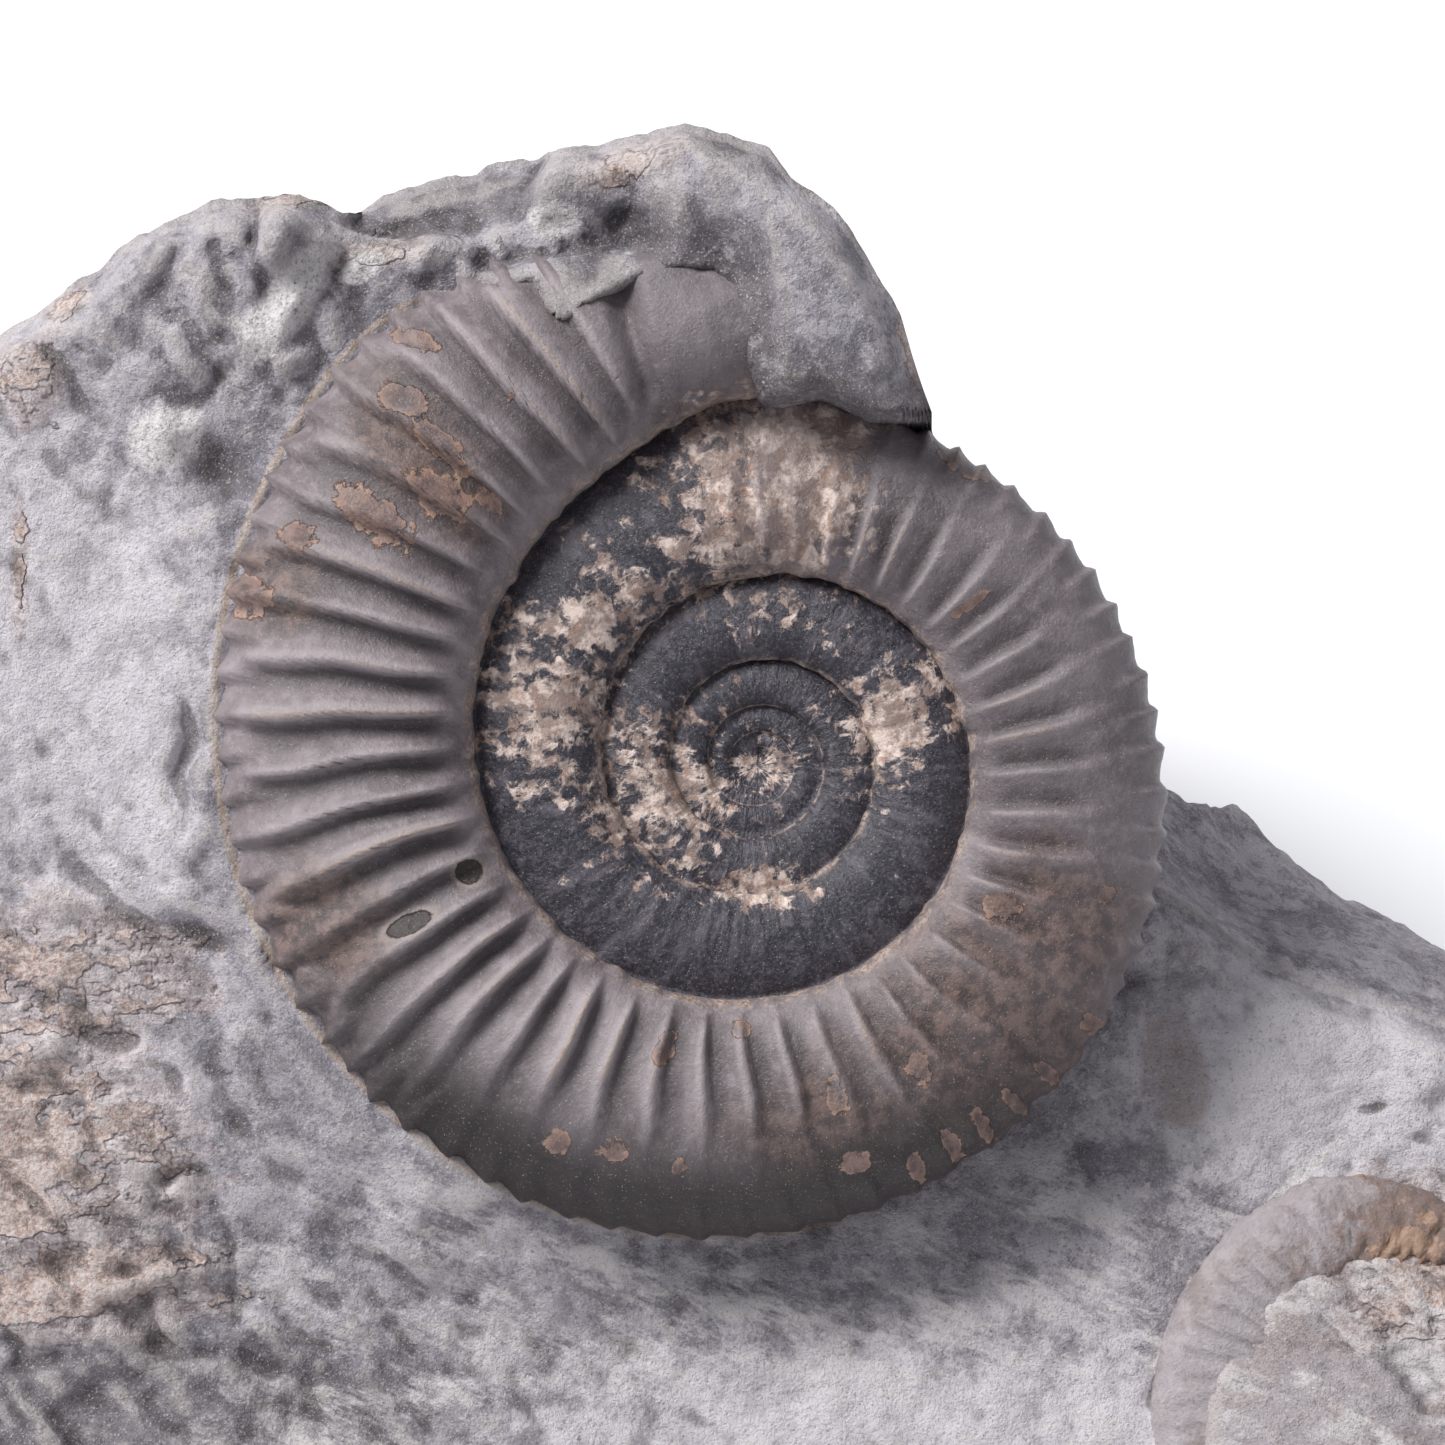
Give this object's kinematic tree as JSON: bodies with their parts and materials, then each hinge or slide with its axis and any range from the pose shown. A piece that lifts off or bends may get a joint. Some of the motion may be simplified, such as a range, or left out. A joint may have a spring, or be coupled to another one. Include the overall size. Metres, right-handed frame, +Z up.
{
  "type": "ammonite fossil in matrix",
  "caption": "Coiled ribbed ammonite shell cast half sunk in the leaning broken face of a flat-based limestone lump, with part of a smaller shell below it.",
  "frame": {"origin": "on the flat underside of the stone, below its middle, at the base mount", "axes": "+X across the lump, along its longest side; -Y towards the viewer of the fossil's face; +Z up"},
  "size_m": [0.109, 0.0796, 0.0678],
  "materials": {
    "limestone": "broken, matt, fine grained",
    "shell_cast": "ribbed, satin, mineralised shell with rusty and pale patches",
    "second_shell_cast": "worn, matt"
  },
  "bodies": {
    "root": {"matrix_rock": "limestone", "ammonite": "shell_cast", "second_ammonite": "second_shell_cast"}
  },
  "joints": []
}
